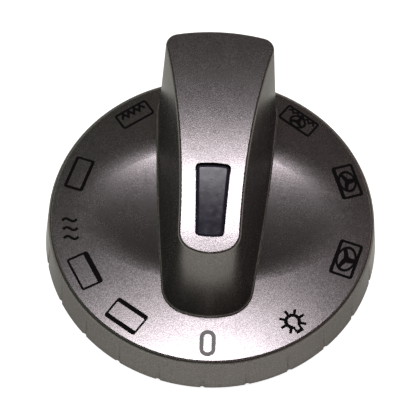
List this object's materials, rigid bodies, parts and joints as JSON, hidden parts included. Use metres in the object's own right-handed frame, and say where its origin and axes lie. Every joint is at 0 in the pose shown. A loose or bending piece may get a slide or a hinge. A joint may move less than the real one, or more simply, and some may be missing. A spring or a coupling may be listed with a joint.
{
  "type": "oven function knob",
  "caption": "Round oven selector knob: drafted skirt, dial with a shallow finger scoop, tall tapered grip with a dark pointer inlay, and a keyed socket for a flatted shaft below.",
  "frame": {"origin": "centre of the skirt's rim, in the plane in which the knob stands", "axes": "+Z out of the oven's panel, along the shaft; -Y towards the nose of the grip; +X to the right with the nose towards the viewer"},
  "size_m": [0.06, 0.06, 0.0278],
  "materials": {
    "satin_metallic": "satin metallic paint with fine flakes, on moulded plastic",
    "dark_inlay": "smooth dark plastic with a slight mottle",
    "socket_plastic": "matt black heat-resistant plastic",
    "spring_steel": "bright spring steel"
  },
  "bodies": {
    "root": {"knob_shell": "satin_metallic", "pointer_inlay": "dark_inlay", "shaft_socket": "socket_plastic", "spring_clip": "spring_steel"}
  },
  "joints": []
}
